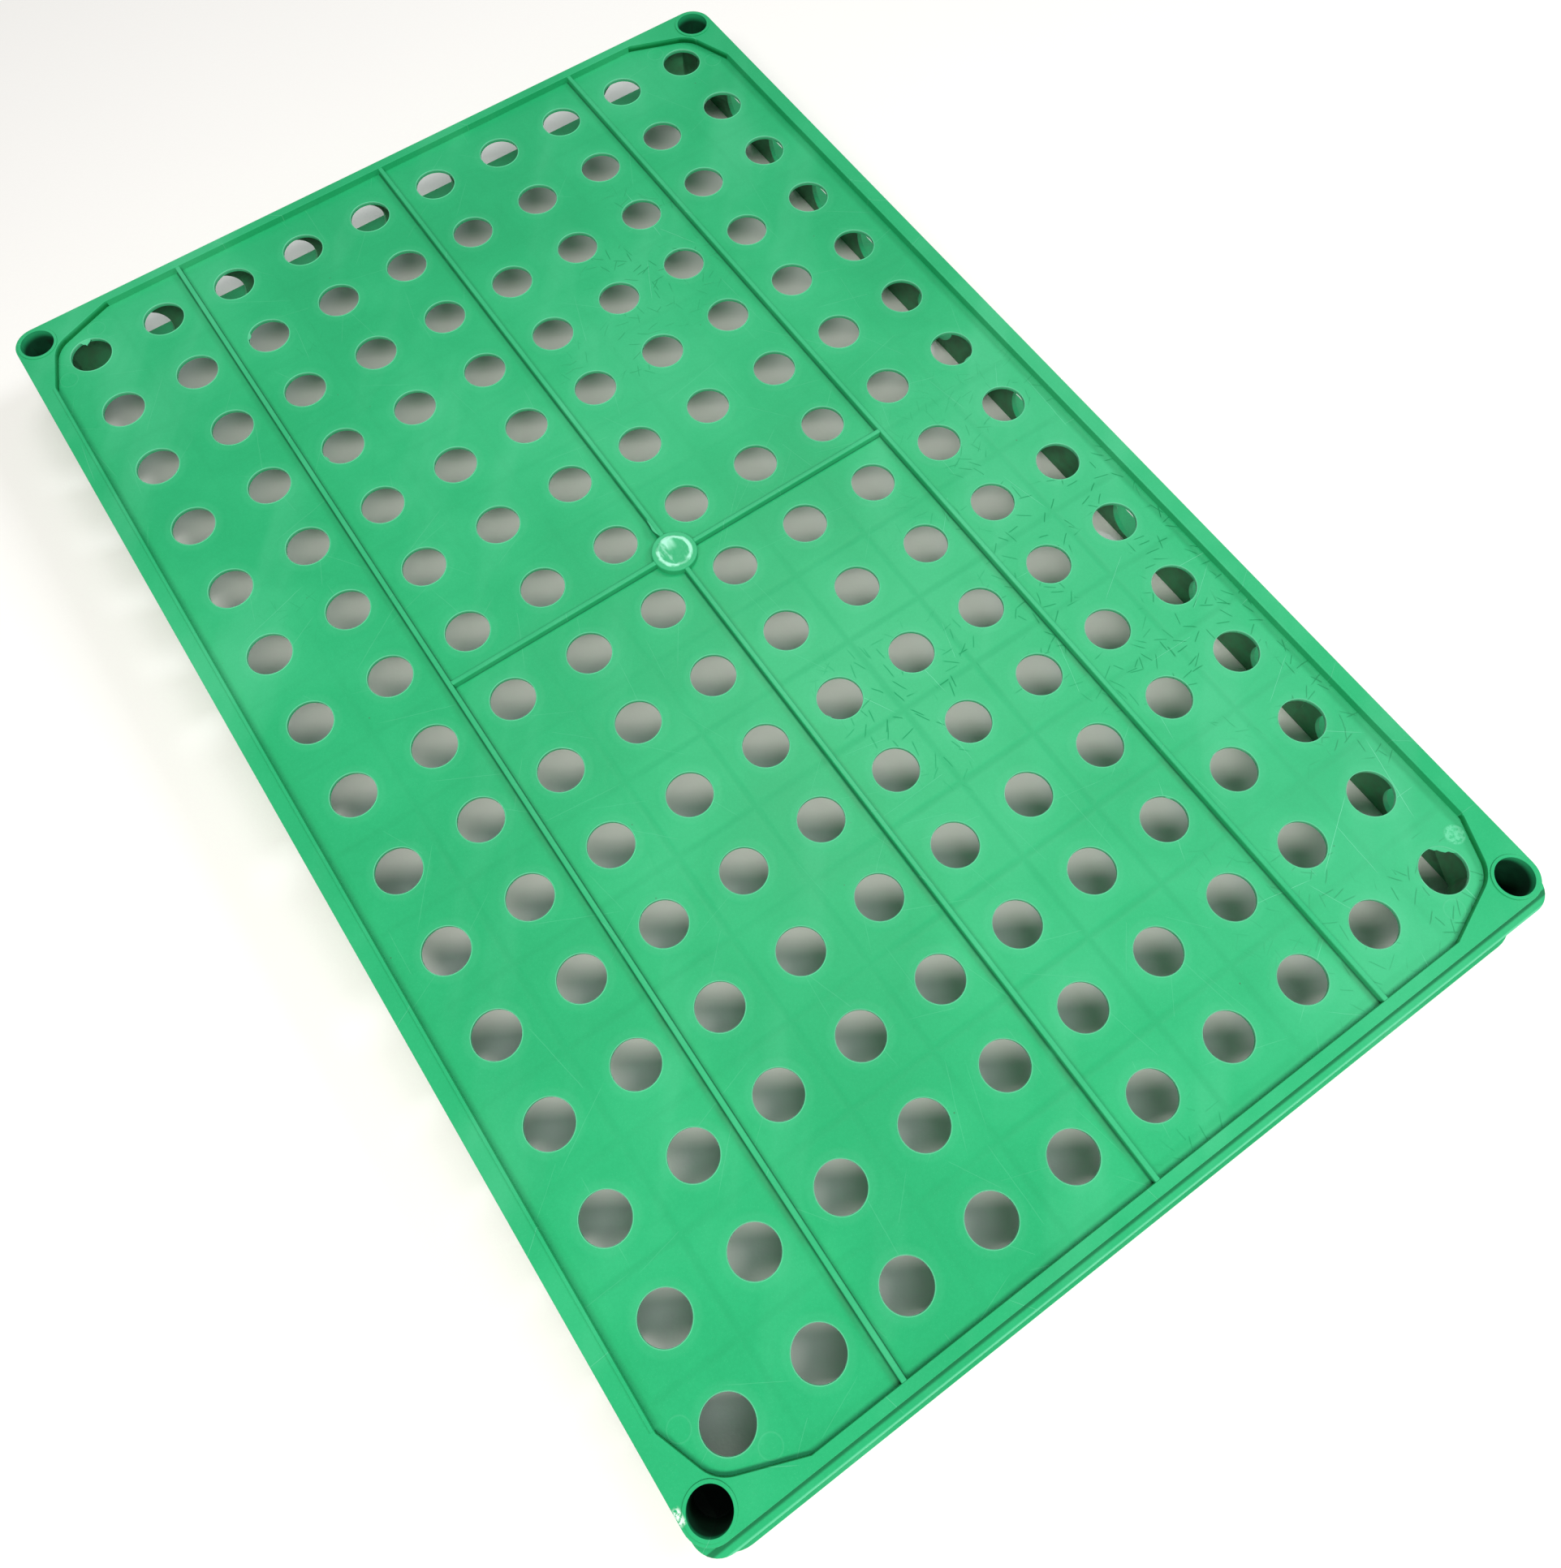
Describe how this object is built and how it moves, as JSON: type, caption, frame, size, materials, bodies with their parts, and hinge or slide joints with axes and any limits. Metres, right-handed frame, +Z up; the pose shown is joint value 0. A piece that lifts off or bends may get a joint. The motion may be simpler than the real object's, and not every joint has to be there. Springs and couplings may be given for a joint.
{
  "type": "perforated stacking tray",
  "caption": "Shallow green plastic tray with a perforated base, raised rim, low ribs, walls with windows and a round stacking socket in each corner, lying base up.",
  "frame": {"origin": "centre of the tray, on the surface it stands on, with the open side down", "axes": "+Z up through the perforated base, +X to the right long side, +Y along the tray's length to the far short side"},
  "size_m": [0.3844, 0.6, 0.0406],
  "materials": {
    "green_moulding": "semi-gloss injection-moulded polypropylene, fine scuffs",
    "green_raised": "semi-gloss injection-moulded polypropylene",
    "green_underside": "matt mould texture",
    "green_gate": "rough moulding scar, paler"
  },
  "bodies": {
    "root": {"base_plate": "green_moulding", "underside_lattice": "green_underside", "rim_left": "green_moulding", "rim_right": "green_moulding", "rim_far": "green_moulding", "rim_near": "green_moulding", "corner_far_left": "green_moulding", "corner_far_right": "green_moulding", "corner_near_left": "green_moulding", "corner_near_right": "green_moulding", "wall_left": "green_moulding", "wall_right": "green_moulding", "wall_far": "green_moulding", "wall_near": "green_moulding", "ledge_far": "green_moulding", "ledge_near": "green_moulding", "foot_left": "green_raised", "foot_right": "green_raised", "foot_far": "green_raised", "foot_near": "green_raised", "long_rib_left": "green_raised", "long_rib_right": "green_raised", "centre_rib_far": "green_raised", "centre_rib_near": "green_raised", "cross_rib_left": "green_raised", "cross_rib_right": "green_raised", "gate_disc": "green_gate"}
  },
  "joints": []
}
